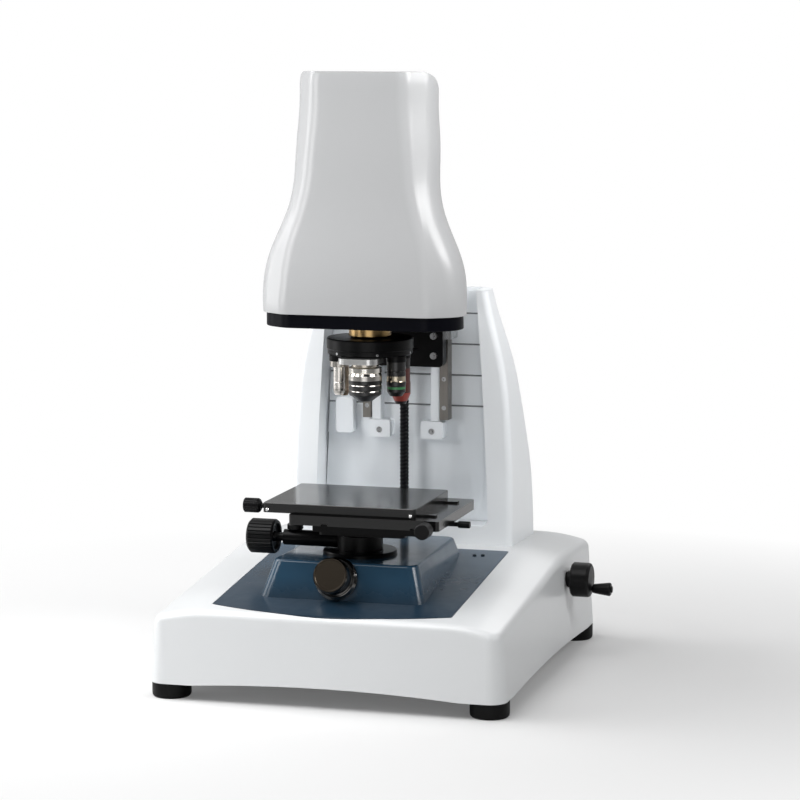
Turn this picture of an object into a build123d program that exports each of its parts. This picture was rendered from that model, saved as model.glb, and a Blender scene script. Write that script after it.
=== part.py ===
from build123d import *
import os
from math import cos, radians, sin, tan

os.makedirs("parts", exist_ok=True)

# Driving dimensions, millimetres. Origin on the bench midway between the feet, +Y to the rear, +Z up
base_w, base_d = 455.0, 525.0
base_bottom = 20.0
base_draft = 3.7
corner_r = 22.0
wall = 5.0
deck_front_y, deck_front_z = -225.0, 116.5
deck_slope = 0.1038
crest_y, rear_y, rear_z = 82.0, 300.0, 141.0
crown_flat, crown_edge, crown_drop = 150.0, 232.0, 15.0
shoulder_r = 11.0

foot_x, foot_y, foot_r = 204.0, 234.5, 24.5

panel_w, panel_front, panel_rear, panel_bow = 306.0, -225.0, 65.0, -252.0
panel_corner = 3.0
panel_t = 4.0
ledge_t = 4.0
plinth_top = 166.0
plinth_front, plinth_back = -170.0, 46.0
plinth_half_front, plinth_half_back = 93.0, 86.0

column_front, column_top = 90.0, 484.0
channel_floor, channel_sill = 134.0, 173.0
plate_front = 129.0
column_skin = 4.0

screw_y, screw_r = 106.0, 6.0
drive_z = 106.0

head_low, head_top = 468.5, 770.0
head_skin = 3.0
band_bottom = 451.0

turret_y, turret_r = -53.0, 55.0
port_low, drum_low, turret_high = 407.0, 414.0, 435.5
port_radius, port_angle, port_count = 42.0, 8.0, 6
optic_x = port_radius * sin(radians(port_angle))
optic_y = turret_y - port_radius * cos(radians(port_angle))

stage_top = 240.7
stage_half_x, stage_y_front, stage_y_rear = 98.3, -190.6, -34.2
y_plate_low, y_plate_high = 216.0, 228.5
tilt_low = 207.0
post_x, post_y, post_r = 0.0, -98.0, 21.3
gimbal_z = 205.2


def save(piece, name):
    piece.part.label = name
    export_step(piece.part, f"parts/{name}.step")


def deck_z(y):
    return deck_front_z + deck_slope * (y - deck_front_y)


def turned(profile, plane):
    """A turned piece: a closed (radius, height) profile spun about the plane's normal."""
    half = Plane(plane.origin, x_dir=plane.x_dir, z_dir=-plane.y_dir)
    with BuildPart() as piece:
        with BuildSketch(half):
            with BuildLine():
                Polyline(*profile, close=True)
            make_face()
        revolve(axis=Axis(plane.origin, plane.z_dir))
    return piece


def upright(x, y, z=0):
    """A plane at (x, y, z) whose normal points up."""
    return Plane((x, y, z), x_dir=(1, 0, 0), z_dir=(0, 0, 1))


def along_x(y, z):
    """A plane through the axis (y, z) whose normal points to the right."""
    return Plane((0, y, z), x_dir=(0, 1, 0), z_dir=(1, 0, 0))


def along_y(x, z):
    """A plane through the axis (x, z) whose normal points to the rear."""
    return Plane((x, 0, z), x_dir=(-1, 0, 0), z_dir=(0, 1, 0))


def slab(x_low, x_high, y_low, y_high, z_low, z_high, mode=Mode.ADD):
    """A rectangular block given by its limits."""
    with BuildSketch(Plane.XY.offset(z_low)) as base:
        with Locations(((x_low + x_high) / 2, (y_low + y_high) / 2)):
            Rectangle(x_high - x_low, y_high - y_low)
    extrude(base.sketch, amount=z_high - z_low, mode=mode)


# Base cover: a drafted block under a sky swept along the deck's side profile
def deck_block(inset, drop, rounding):
    """The base's outer form, moved in by inset at the walls and down by drop at the deck."""
    crest_z = deck_z(crest_y)
    with BuildLine(Plane.YZ) as side_path:
        FilletPolyline(
            (-300, deck_z(-300) - drop),
            (crest_y, crest_z - drop),
            (rear_y, rear_z - drop),
            radius=420,
        )
    with BuildPart() as block:
        with BuildSketch(Plane.XY.offset(base_bottom)):
            RectangleRounded(base_w - 2 * inset, base_d - 2 * inset, corner_r - inset)
        extrude(amount=160, taper=base_draft)
        sky_plane = Plane(side_path.line @ 0, x_dir=(-1, 0, 0), z_dir=side_path.line % 0)
        with BuildSketch(sky_plane) as sky:
            with BuildLine():
                over = Line((-crown_flat, 0), (crown_flat, 0))
                right = TangentArc((crown_flat, 0), (crown_edge, -crown_drop), tangent=(1, 0))
                left = TangentArc((-crown_flat, 0), (-crown_edge, -crown_drop), tangent=(-1, 0))
                Polyline(
                    right @ 1,
                    (crown_edge + 30, -crown_drop - 12),
                    (crown_edge + 30, 120),
                    (-crown_edge - 30, 120),
                    (-crown_edge - 30, -crown_drop - 12),
                    left @ 1,
                )
            make_face()
        sweep(path=side_path.line, mode=Mode.SUBTRACT)
        top_faces = [f for f in block.faces() if f.center().Z > base_bottom + 60 and f.normal_at().Z > 0.8]
        rim = [
            e
            for e in block.edges()
            if e.center().Z > base_bottom + 50
            and sum(1 for f in top_faces if any(e.is_same(g) for g in f.edges())) == 1
        ]
        fillet(rim, rounding)
    return block.part


def panel_outline(grow):
    """The navy moulding's outline: straight sides, a front edge bowed towards the user."""
    half = panel_w / 2 + grow
    front, rear, bow = panel_front - grow, panel_rear + grow, panel_bow - grow
    with BuildSketch() as outline:
        with BuildLine():
            Polyline((half, front), (half, rear), (-half, rear), (-half, front))
            ThreePointArc((-half, front), (0, bow), (half, front))
        make_face()
        fillet(outline.vertices(), max(panel_corner + grow, 1.5))
    return outline.sketch


outer_form = deck_block(0, 0, shoulder_r)
inner_form = deck_block(wall, wall, shoulder_r - 5)
recess_form = deck_block(panel_t, panel_t, shoulder_r - 4)
ledge_form = deck_block(panel_t + ledge_t, panel_t + ledge_t, shoulder_r - 7)

shaft_hole_r = 10.0
panel_floor = 92.0
casting_hole = (256.0, 92.0, 178.0)

with BuildPart() as panel_ledge:
    with BuildSketch(Plane.XY.offset(panel_floor)):
        add(panel_outline(3))
    extrude(amount=100)
    add(recess_form, mode=Mode.INTERSECT)
    add(ledge_form, mode=Mode.SUBTRACT)

with BuildPart() as recess_tool:
    with BuildSketch(Plane.XY.offset(panel_floor)):
        add(panel_outline(0.8))
    extrude(amount=100)
    add(recess_form, mode=Mode.SUBTRACT)

with BuildPart() as base_cover:
    add(outer_form)
    add(inner_form, mode=Mode.SUBTRACT)
    add(panel_ledge.part)
    add(recess_tool.part, mode=Mode.SUBTRACT)
    with BuildSketch():
        add(panel_outline(-9))
    extrude(amount=200, mode=Mode.SUBTRACT)
    with BuildSketch(Plane.XY.offset(100)):
        with Locations((0, casting_hole[2])):
            RectangleRounded(casting_hole[0], casting_hole[1], 6)
    extrude(amount=80, mode=Mode.SUBTRACT)
    with BuildSketch(Plane.XY.offset(100)):
        with Locations((0, screw_y)):
            Circle(13)
    extrude(amount=80, mode=Mode.SUBTRACT)
    with BuildSketch(along_x(screw_y, drive_z).offset(150)):
        Circle(shaft_hole_r)
    extrude(amount=100, mode=Mode.SUBTRACT)
    with BuildSketch(Plane.XZ):
        with BuildLine():
            ThreePointArc((-172, base_bottom), (0, base_bottom + 6.5), (172, base_bottom))
            Line((172, base_bottom), (-172, base_bottom))
        make_face()
    extrude(amount=300, both=True, mode=Mode.SUBTRACT)
    with BuildSketch(Plane.YZ):
        with BuildLine():
            ThreePointArc((-205, base_bottom), (0, base_bottom + 5.5), (205, base_bottom))
            Line((205, base_bottom), (-205, base_bottom))
        make_face()
    extrude(amount=300, both=True, mode=Mode.SUBTRACT)
    slab(126, 154, 240, 270, 58, 78, mode=Mode.SUBTRACT)
save(base_cover, "base_cover")


# Navy moulding: a skin flush with the deck and a hollow frustum for the stage
def plinth_frustum(inset, low, high):
    """The frustum between two heights, its walls moved in by inset."""
    front_slope, side_slope = tan(radians(19.6)), tan(radians(16.7))

    def corners(z):
        drop = plinth_top - z
        front = plinth_front - drop * front_slope + inset
        back = plinth_back + drop * side_slope - inset
        half_front = plinth_half_front + drop * side_slope - inset
        half_back = plinth_half_back + drop * side_slope - inset
        return [(-half_front, front), (half_front, front), (half_back, back), (-half_back, back)]

    with BuildPart() as frustum:
        for z in (low, high):
            with BuildSketch(Plane.XY.offset(z)):
                Polygon(*corners(z), align=None)
        loft(ruled=True)
        upright_edges = [e for e in frustum.edges() if e.bounding_box().size.Z > 20]
        fillet(upright_edges, 14 - inset)
    return frustum.part


knob_rise, slope_angle = 20.0, 19.6
knob_plane = Plane(
    (-6, plinth_front - knob_rise * tan(radians(slope_angle)), plinth_top - knob_rise),
    x_dir=(1, 0, 0),
    z_dir=(0, -cos(radians(slope_angle)), sin(radians(slope_angle))),
)
panel_screw_places = ((114, 38), (124.5, 40))
plinth_outer = plinth_frustum(0, 100, plinth_top)
plinth_inner = plinth_frustum(panel_t, 80, plinth_top - panel_t)

with BuildPart() as raised:
    add(plinth_outer)
    fillet(raised.faces().sort_by(Axis.Z)[-1].edges(), 4)
    add(recess_form, mode=Mode.SUBTRACT)

with BuildPart() as plinth_panel:
    with BuildSketch(Plane.XY.offset(panel_floor)):
        add(panel_outline(0))
    extrude(amount=100)
    add(outer_form, mode=Mode.INTERSECT)
    add(recess_form, mode=Mode.SUBTRACT)
    add(raised.part)
    add(plinth_inner, mode=Mode.SUBTRACT)
    with BuildSketch(upright(post_x, post_y, plinth_top - 10)):
        Circle(30)
    extrude(amount=20, mode=Mode.SUBTRACT)
    with BuildSketch(knob_plane.offset(-20)):
        Circle(5.05)
    extrude(amount=30, mode=Mode.SUBTRACT)
    for x, y in panel_screw_places:
        with BuildSketch(upright(x, y, deck_z(y) - 20)):
            Circle(1.6)
        extrude(amount=30, mode=Mode.SUBTRACT)
save(plinth_panel, "plinth_panel")

# Frame: the cast floor with its ribs, the stage pedestal and the upright
pedestal_r = 45.0
floor_low, floor_high, rib_high = 26.0, 38.0, 56.0

pedestal_profile = [
    (0, floor_high),
    (pedestal_r + 8, floor_high),
    (pedestal_r + 8, floor_high + 10),
    (pedestal_r, floor_high + 18),
    (pedestal_r, plinth_top - panel_t),
    (29.5, plinth_top - panel_t),
    (29.5, plinth_top),
    (0, plinth_top),
]

with BuildPart() as base_casting:
    with BuildSketch(Plane.XY.offset(floor_low)):
        RectangleRounded(base_w - 2 * wall - 6, base_d - 2 * wall - 6, corner_r - wall - 3)
    extrude(amount=floor_high - floor_low)
    with BuildSketch(Plane.XY.offset(floor_high)):
        with GridLocations(130, 0, 3, 1):
            Rectangle(10, 480)
        with GridLocations(0, 160, 1, 3):
            Rectangle(400, 10)
    extrude(amount=rib_high - floor_high)
    with BuildSketch(Plane.XY.offset(floor_high)):
        with Locations((0, 181)):
            Rectangle(264, 104)
        with Locations((post_x, post_y)):
            Circle(pedestal_r + 12)
    extrude(amount=rib_high - floor_high, mode=Mode.SUBTRACT)
    with BuildSketch(Plane.XY.offset(base_bottom)):
        with GridLocations(2 * foot_x, 2 * foot_y, 2, 2):
            Circle(9)
    extrude(amount=floor_low - base_bottom)
    add(turned(pedestal_profile, upright(post_x, post_y)).part)
save(base_casting, "base_casting")

foot_profile = [(0, 0), (22, 0), (24, 2), (foot_r, 5), (foot_r, base_bottom), (0, base_bottom)]
with BuildPart() as feet:
    for x in (-foot_x, foot_x):
        for y in (-foot_y, foot_y):
            add(turned(foot_profile, upright(x, y)).part)
save(feet, "feet")

def channel_half(z):
    """Half width of the channel, narrowing gently towards the top."""
    return 118.4 - 0.0275 * (z - channel_sill) - 0.0000905 * (z - channel_sill) ** 2


bearing_low, bearing_high, bearing_r = 130.0, 140.0, 11.0
with BuildPart() as column_casting:
    slab(-130, 130, channel_floor, 226, floor_high, floor_high + 14)
    with BuildSketch(Plane.XZ.offset(-channel_floor)):
        Polygon(
            (-125, floor_high),
            (125, floor_high),
            (125, channel_sill),
            (110, 400),
            (-110, 400),
            (-125, channel_sill),
            align=None,
        )
    extrude(amount=-12)
    slab(-84, 84, channel_floor, channel_floor + 3, 398, 470)
    for x in (-80, 0, 80):
        with BuildSketch(Plane.YZ.offset(x - 7)):
            Polygon((146, 50), (220, 50), (220, 150), (200, 255), (164, 350), (146, 392), align=None)
        extrude(amount=14)
    slab(-22, 22, 92, channel_floor, bearing_low - 2, bearing_high)
    slab(28, 44, 90, channel_floor, 90, 122)
    with BuildSketch(upright(0, screw_y, bearing_low - 3)):
        Circle(bearing_r)
    extrude(amount=bearing_high - bearing_low + 4, mode=Mode.SUBTRACT)
    with BuildSketch(along_x(screw_y, drive_z)):
        Circle(5.05)
    extrude(amount=60, mode=Mode.SUBTRACT)
save(column_casting, "column_casting")


# White upright cover: the A outline seen from the front crossed with the curved back seen from the side
def column_form(inset):
    """The upright's outer form, its skin moved in by inset."""
    low = deck_z(column_front) - 12
    with BuildPart() as form:
        with BuildSketch(Plane.XZ.offset(-(column_front + inset))):
            with BuildLine():
                foot_right = (150 - inset, low)
                knee_right = (150 - inset, 215)
                crown_right = (115.8 - inset, column_top - inset)
                Line(foot_right, knee_right)
                Spline(
                    knee_right,
                    (146.2 - inset, 311),
                    (139 - inset, 382),
                    (127 - inset, 434),
                    crown_right,
                    tangents=[(0, 1), (-0.17, 1)],
                )
                crown_left = (-crown_right[0], crown_right[1])
                Line(crown_right, crown_left)
                Spline(
                    crown_left,
                    (-(127 - inset), 434),
                    (-(139 - inset), 382),
                    (-(146.2 - inset), 311),
                    (-(150 - inset), 215),
                    tangents=[(-0.17, -1), (0, -1)],
                )
                Line((-(150 - inset), 215), (-(150 - inset), low))
                Line((-(150 - inset), low), foot_right)
            make_face()
        extrude(amount=-160)
        with BuildSketch(Plane.YZ):
            with BuildLine():
                Line((column_front - 10, low), (236 - inset, low))
                Spline(
                    (236 - inset, low),
                    (214 - inset, 255),
                    (178 - inset, 350),
                    (153 - inset, 430),
                    (141 - inset, column_top),
                    tangents=[(-0.02, 1), (-0.14, 1)],
                )
                Line((141 - inset, column_top), (column_front - 10, column_top))
                Line((column_front - 10, column_top), (column_front - 10, low))
            make_face()
        extrude(amount=200, both=True, mode=Mode.INTERSECT)
        rear_edges = [
            e
            for e in form.edges()
            if e.center().Y > 150 and e.bounding_box().size.Z > 100
        ]
        fillet(rear_edges, 22 - inset)
        front_edges = [
            e
            for e in form.edges()
            if e.center().Y < column_front + inset + 1 and e.bounding_box().size.Z > 30
        ]
        fillet(front_edges, 8 - inset)
    return form.part


def channel_form(grow, back, low_corner):
    """The open channel in the upright's front."""
    top = column_top + 6
    with BuildPart() as form:
        with BuildSketch(Plane.XZ.offset(-(column_front - 5))):
            with BuildLine():
                right = ThreePointArc(
                    (channel_half(channel_sill) + grow, channel_sill - grow),
                    (channel_half(330) + grow, 330),
                    (channel_half(top) + grow, top),
                )
                left = ThreePointArc(
                    (-channel_half(channel_sill) - grow, channel_sill - grow),
                    (-channel_half(330) - grow, 330),
                    (-channel_half(top) - grow, top),
                )
                Line(right @ 0, left @ 0)
                Line(right @ 1, left @ 1)
            make_face()
        extrude(amount=-(back - column_front + 5))
        corners = form.edges().filter_by(Axis.Y).group_by(Axis.Z)[0]
        fillet(corners, low_corner)
    return form.part


with BuildPart() as column_hollow:
    add(column_form(column_skin))
    add(channel_form(column_skin, channel_floor, 14), mode=Mode.SUBTRACT)

with BuildPart() as column_cover:
    add(column_form(0))
    add(column_hollow.part, mode=Mode.SUBTRACT)
    add(channel_form(0, channel_floor + 1, 10), mode=Mode.SUBTRACT)
    add(outer_form, mode=Mode.SUBTRACT)
    with BuildSketch(upright(0, screw_y, channel_sill - 10)):
        Circle(9)
    extrude(amount=20, mode=Mode.SUBTRACT)
save(column_cover, "column_cover")

# Channel: one seamed plate stepping back to a smooth lower panel, rails and their stops
ledge_z, plate_top = 284.5, 480.0
seam_z = [326.4, 367.2, 408.4, 449.5]
lower_t = 2.2
with BuildPart() as channel_cover:
    with BuildSketch(Plane.XZ.offset(-plate_front)):
        with BuildLine():
            Polyline(
                (channel_half(plate_top) - 0.6, plate_top),
                (-channel_half(plate_top) + 0.6, plate_top),
                (-channel_half(380) + 0.6, 380),
                (-channel_half(channel_sill) + 0.6, channel_sill + 0.3),
                (channel_half(channel_sill) - 0.6, channel_sill + 0.3),
                (channel_half(380) - 0.6, 380),
                close=True,
            )
        make_face()
    extrude(amount=-(channel_floor - plate_front))
    fillet(channel_cover.edges().filter_by(Axis.Y).group_by(Axis.Z)[0], 10)
    slab(-130, 130, plate_front - 1, channel_floor - lower_t, 170, ledge_z, mode=Mode.SUBTRACT)
    for z in seam_z:
        with BuildSketch(Plane.YZ):
            with Locations((plate_front, z)):
                RegularPolygon(1.5, 4)
        extrude(amount=130, both=True, mode=Mode.SUBTRACT)
save(channel_cover, "channel_cover")

rail_front = 110.0
rail_low, rail_high = 309.0, 480.0
rail_screw_z = [325 + 38.3 * step for step in range(4)]
rail_x, stop_x, stop_z = 52.75, 36.0, 293.0

with BuildPart() as rail_bars:
    for side in (-1, 1):
        slab(*sorted((side * 34, side * 46.8)), 112, plate_front, 307, rail_high)
    chamfer(rail_bars.edges().filter_by(Axis.Z).group_by(Axis.Y)[0], 0.8)
save(rail_bars, "rail_bars")

with BuildPart() as guide_rails:
    for side in (-1, 1):
        slab(*sorted((side * 47, side * 58.5)), rail_front, plate_front, rail_low, rail_high)
    chamfer(guide_rails.edges().filter_by(Axis.Z).group_by(Axis.Y)[0], 0.6)
    with Locations(Plane.XZ.offset(-rail_front)):
        with Locations(*[(side * rail_x, z) for side in (-1, 1) for z in rail_screw_z]):
            CounterBoreHole(1.7, 3.1, 4, depth=25)
save(guide_rails, "guide_rails")

with BuildPart() as rail_stops:
    for side in (-1, 1):
        slab(*sorted((side * 21, side * 51)), rail_front, plate_front, 283, 306.4)
    fillet(rail_stops.edges().filter_by(Axis.Y), 3)
    with Locations(Plane.XZ.offset(-rail_front)):
        with Locations((-stop_x, stop_z), (stop_x, stop_z)):
            CounterBoreHole(2.2, 4.1, 5, depth=25)
save(rail_stops, "rail_stops")


def cap_screw(head_r, head_h, shank_r, shank_l, plane):
    """A socket cap screw whose head stands on the plane, its shank going the other way."""
    socket = 0.55 * head_r
    profile = [(0, -shank_l), (shank_r, -shank_l), (shank_r, 0), (head_r, 0), (head_r, head_h), (0, head_h)]
    with BuildPart() as screw:
        add(turned(profile, plane).part)
        with BuildSketch(plane.offset(head_h)):
            RegularPolygon(socket, 6)
        extrude(amount=-head_h * 0.6, mode=Mode.SUBTRACT)
    return screw.part


def facing_front(x, y, z):
    """A plane at (x, y, z) whose normal points at the user."""
    return Plane((x, y, z), x_dir=(1, 0, 0), z_dir=(0, -1, 0))


with BuildPart() as rail_screws:
    for side in (-1, 1):
        for z in rail_screw_z:
            add(cap_screw(3.0, 3.4, 1.7, 15, facing_front(side * rail_x, rail_front + 4, z)))
        add(cap_screw(4.0, 4.4, 2.2, 14, facing_front(side * stop_x, rail_front + 5, stop_z)))
save(rail_screws, "rail_screws")

with BuildPart() as limit_switch_cover:
    slab(-98, -73, 114, plate_front, 286, 334)
    fillet(limit_switch_cover.edges().filter_by(Axis.Y), 5)
    fillet(limit_switch_cover.faces().sort_by(Axis.Y)[0].edges(), 1.5)
save(limit_switch_cover, "limit_switch_cover")

# Lift drive: screw, its bearings, the bevel pair and the handwheel
bearing_profile = [(screw_r + 0.05, 0), (bearing_r, 0), (bearing_r, 10), (screw_r + 0.05, 10)]
screw_bearing_lower = turned(bearing_profile, upright(0, screw_y, bearing_low))
save(screw_bearing_lower, "screw_bearing_lower")

with BuildPart() as screw_bearing_upper:
    slab(-20, 20, 96, plate_front, 462, 480)
    fillet(screw_bearing_upper.edges().filter_by(Axis.Z).group_by(Axis.Y)[0], 5)
    with BuildSketch(upright(0, screw_y, 460)):
        Circle(screw_r + 0.05)
    extrude(amount=16, mode=Mode.SUBTRACT)
save(screw_bearing_upper, "screw_bearing_upper")

screw_profile = [
    (0, drive_z + 10),
    (screw_r - 0.4, drive_z + 10),
    (screw_r, drive_z + 10.4),
    (screw_r, 474.6),
    (screw_r - 1, 475.6),
    (0, 475.6),
]
lead_screw = turned(screw_profile, upright(0, screw_y))
save(lead_screw, "lead_screw")


def bevel_gear(plane, bore):
    """A 45 degree bevel gear with straight teeth, its apex at the plane's origin."""
    teeth = 18
    near, far = 10.0, 17.0
    gap = 0.45
    profile = [(bore, near), (near - gap, near), (far - gap, far), (far - gap - 1, far + 3), (bore, far + 3)]
    blank = turned(profile, plane)
    face_mid = (near + far) / 2
    with BuildPart(plane) as cutters:
        with PolarLocations(0, teeth):
            with Locations(Location((face_mid - gap, 0, face_mid), (0, 45, 0))):
                Box(2.4, 1.5, 14)
    with BuildPart() as gear:
        add(blank.part)
        add(cutters.part, mode=Mode.SUBTRACT)
    return gear


screw_gear = bevel_gear(upright(0, screw_y, drive_z), screw_r)
save(screw_gear, "screw_gear")

shaft_gear = bevel_gear(along_x(screw_y, drive_z), 5.0)
save(shaft_gear, "shaft_gear")

shaft_profile = [(0, 11), (5, 11), (5, 250), (4.2, 251), (0, 251)]
drive_shaft = turned(shaft_profile, along_x(screw_y, drive_z))
save(drive_shaft, "drive_shaft")

collar_profile = [(5.05, 205), (13, 205), (13, 213), (9.8, 213), (9.8, 223), (5.05, 223)]
shaft_collar = turned(collar_profile, along_x(screw_y, drive_z))
save(shaft_collar, "shaft_collar")

wheel_r, crank_offset = 22.5, 11.0
with BuildPart() as handwheel:
    wheel_profile = [
        (5, 223.6),
        (11, 223.6),
        (11, 229),
        (20.5, 229),
        (wheel_r, 231),
        (wheel_r, 250.5),
        (21.6, 252.9),
        (19, 254.4),
        (0, 255.2),
        (0, 251),
        (5, 251),
    ]
    add(turned(wheel_profile, along_x(screw_y, drive_z)).part)
    pin_profile = [(0, 250), (3.05, 250), (3.05, 280.9), (4.4, 280.9), (4.4, 282), (3.6, 282.6), (0, 282.6)]
    add(turned(pin_profile, along_x(screw_y, drive_z - crank_offset)).part)
save(handwheel, "handwheel")

with BuildPart() as crank_knob:
    knob_profile = [
        (3.15, 256.4),
        (5.4, 256.4),
        (6.2, 259),
        (8.7, 277.5),
        (8.7, 279.3),
        (7.4, 280.5),
        (3.15, 280.5),
    ]
    add(turned(knob_profile, along_x(screw_y, drive_z - crank_offset)).part)
save(crank_knob, "crank_knob")

# Head: a plan with a flat front, swept sides and a tapering back, lofted up through its flare
head_stations = [
    # height, half front, front y, half widest, widest y, half rear
    (head_low, 93.5, -125.0, 135.3, -93.0, 98.0),
    (500.0, 93.0, -124.6, 135.8, -93.0, 98.0),
    (530.0, 89.6, -122.4, 131.1, -93.0, 96.0),
    (571.0, 80.6, -117.0, 113.8, -92.0, 84.0),
    (605.0, 72.5, -113.0, 98.6, -83.0, 75.0),
    (653.0, 66.0, -110.0, 92.6, -72.0, 71.0),
    (700.0, 62.0, -107.5, 91.1, -66.0, 68.0),
    (735.0, 60.0, -106.2, 89.3, -63.0, 66.0),
    (head_top, 58.0, -105.0, 86.9, -60.0, 64.0),
]
head_rear = 10.0


def head_plan(station, inset, z):
    """One plan section of the head; its widest corners stand out by what their rounding takes off."""
    height, half_front, front, half_wide, wide, half_rear = station
    half_wide += 5.5
    points = [
        (half_front - 0.75 * inset, front + inset),
        (half_wide - 1.1 * inset, wide + 0.2 * inset),
        (half_rear - inset, head_rear - inset),
        (-half_rear + inset, head_rear - inset),
        (-half_wide + 1.1 * inset, wide + 0.2 * inset),
        (-half_front + 0.75 * inset, front + inset),
    ]
    with BuildSketch(Plane.XY.offset(z)) as plan:
        with BuildLine():
            FilletPolyline(*points, radius=[24, 40, 22, 22, 40, 24], close=True)
        make_face()
    return plan.sketch


def head_form(inset, low):
    """The head's outer form, its skin moved in by inset and opened down to the low plane."""
    crown_y = -80.0
    with BuildPart() as form:
        sections = [head_plan(station, inset, station[0]) for station in head_stations[1:]]
        first = head_plan(head_stations[0], inset, low)
        loft([first] + sections)
        with BuildSketch(Plane.YZ):
            with BuildLine():
                top = head_top - inset
                nape = (-48.0 - inset, 738.0 - inset)
                waist = (head_rear - inset, 622.0)
                Line((-140, low), (-140, top))
                Line((-140, top), (crown_y, top))
                ThreePointArc((crown_y, top), (-61.0 - 0.7 * inset, 760.0 - 0.9 * inset), nape)
                Spline(nape, (-12.0 - inset, 680.0), waist, tangents=[(0.5, -1), (0.1, -1)])
                Line(waist, (head_rear - inset, low))
                Line((head_rear - inset, low), (-140, low))
            make_face()
        extrude(amount=200, both=True, mode=Mode.INTERSECT)
    return form.part


with BuildPart() as head_cover:
    add(head_form(0, head_low))
    add(head_form(head_skin, head_low - 1), mode=Mode.SUBTRACT)
    slab(-54, 54, -10, 20, head_low - 1, 492, mode=Mode.SUBTRACT)
save(head_cover, "head_cover")

# Dark base plate of the head, with the seat of the turret
with BuildPart() as head_base_plate:
    add(head_plan(head_stations[0], 3.0, band_bottom))
    extrude(amount=head_low - band_bottom)
    fillet(head_base_plate.faces().sort_by(Axis.Z)[0].edges(), 1.5)
    with BuildSketch(upright(optic_x, optic_y, band_bottom - 1)):
        Circle(16)
    extrude(amount=30, mode=Mode.SUBTRACT)
save(head_base_plate, "head_base_plate")

carriage_front, carriage_back = 78.0, 94.0
with BuildPart() as carriage:
    slab(-60, 60, carriage_front, carriage_back, 383, 505)
    fillet(carriage.edges().filter_by(Axis.Y), 6)
    with BuildSketch(Plane.XZ.offset(-carriage_front)):
        with Locations((0, 425)):
            RectangleRounded(60, 40, 6)
    extrude(amount=-5, mode=Mode.SUBTRACT)
    with Locations(Plane.XZ.offset(-carriage_front)):
        with Locations(*[(x, z) for x in (-48, 48) for z in (398, 424)]):
            Hole(2.5, depth=12)
save(carriage, "carriage")

with BuildPart() as carriage_screws:
    for x in (-48, 48):
        for z in (398, 424):
            add(cap_screw(4.5, 4, 2.5, 12, facing_front(x, carriage_front, z)))
save(carriage_screws, "carriage_screws")

with BuildPart() as carriage_shoes:
    for side in (-1, 1):
        for low in (418, 452):
            slab(*sorted((side * 46, side * 67)), carriage_back, rail_front - 0.3, low, low + 26)
            slab(*sorted((side * 58.8, side * 67)), rail_front - 0.4, 126, low, low + 26)
save(carriage_shoes, "carriage_shoes")

with BuildPart() as lift_nut:
    slab(-15, 20, carriage_back, 119, 386, 410)
    fillet(lift_nut.edges().filter_by(Axis.Z).group_by(Axis.Y)[-1], 5)
    with BuildSketch(upright(0, screw_y, 380)):
        Circle(screw_r + 0.08)
    extrude(amount=40, mode=Mode.SUBTRACT)
save(lift_nut, "lift_nut")

arm_top = 484.0
with BuildPart() as head_arm:
    slab(-50, 50, -72, carriage_front, head_low, arm_top)
    slab(-50, 50, 60, carriage_front, 442, 500)
    for x in (-38, 38):
        with BuildSketch(Plane.YZ.offset(x - 5)):
            Polygon((18, head_low), (62, head_low), (62, 444), align=None)
        extrude(amount=10)
    with BuildSketch(upright(optic_x, optic_y, head_low - 1)):
        Circle(30)
    extrude(amount=30, mode=Mode.SUBTRACT)
save(head_arm, "head_arm")

# Optics in the head: splitter over the turret, folded back and up to the camera
mount_top = 480.0
splitter_z, fold_y = 500.0, -50.0
with BuildPart() as splitter_housing:
    with BuildSketch(upright(optic_x, optic_y, head_low)):
        RectangleRounded(44, 42, 4)
    extrude(amount=mount_top - head_low)
    slab(optic_x - 20, optic_x + 20, optic_y - 18, optic_y + 18, mount_top, mount_top + 40)
    with BuildSketch(upright(optic_x, optic_y, mount_top)):
        Rectangle(25, 25)
    extrude(amount=35, mode=Mode.SUBTRACT)
    with BuildSketch(upright(optic_x, optic_y, head_low - 1)):
        Circle(12)
    extrude(amount=20, mode=Mode.SUBTRACT)
    with BuildSketch(Plane.XZ.offset(-optic_y)):
        with Locations((optic_x, splitter_z)):
            Circle(11)
    extrude(amount=-30, mode=Mode.SUBTRACT)
    with BuildSketch(along_x(optic_y, splitter_z).offset(optic_x - 25)):
        Circle(11)
    extrude(amount=25, mode=Mode.SUBTRACT)
save(splitter_housing, "splitter_housing")

with BuildPart() as beam_splitter:
    slab(optic_x - 12.5, optic_x + 12.5, optic_y - 12.5, optic_y + 12.5, splitter_z - 12.5, splitter_z + 12.5)
    chamfer(beam_splitter.edges(), 0.6)
save(beam_splitter, "beam_splitter")

lamp_profile = [
    (0, -72),
    (13, -72),
    (15, -70),
    (15, -44),
    (12, -42),
    (12, -30),
    (15.5, -28),
    (15.5, optic_x - 20),
    (0, optic_x - 20),
]
light_source = turned(lamp_profile, along_x(optic_y, splitter_z))
save(light_source, "light_source")

with BuildPart() as fold_mirror_block:
    with BuildSketch(Plane.YZ.offset(optic_x - 17)):
        Polygon(
            (optic_y + 18, arm_top),
            (fold_y + 19, arm_top),
            (fold_y + 19, splitter_z + 4),
            (fold_y + 19, splitter_z + 20),
            (optic_y + 18, splitter_z + 20),
            align=None,
        )
    extrude(amount=34)
    with BuildSketch(Plane.XZ.offset(-(optic_y + 17))):
        with Locations((optic_x, splitter_z)):
            Circle(11)
    extrude(amount=-(fold_y - optic_y - 17), mode=Mode.SUBTRACT)
    with BuildSketch(upright(optic_x, fold_y, splitter_z)):
        Circle(11)
    extrude(amount=30, mode=Mode.SUBTRACT)
save(fold_mirror_block, "fold_mirror_block")

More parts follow.
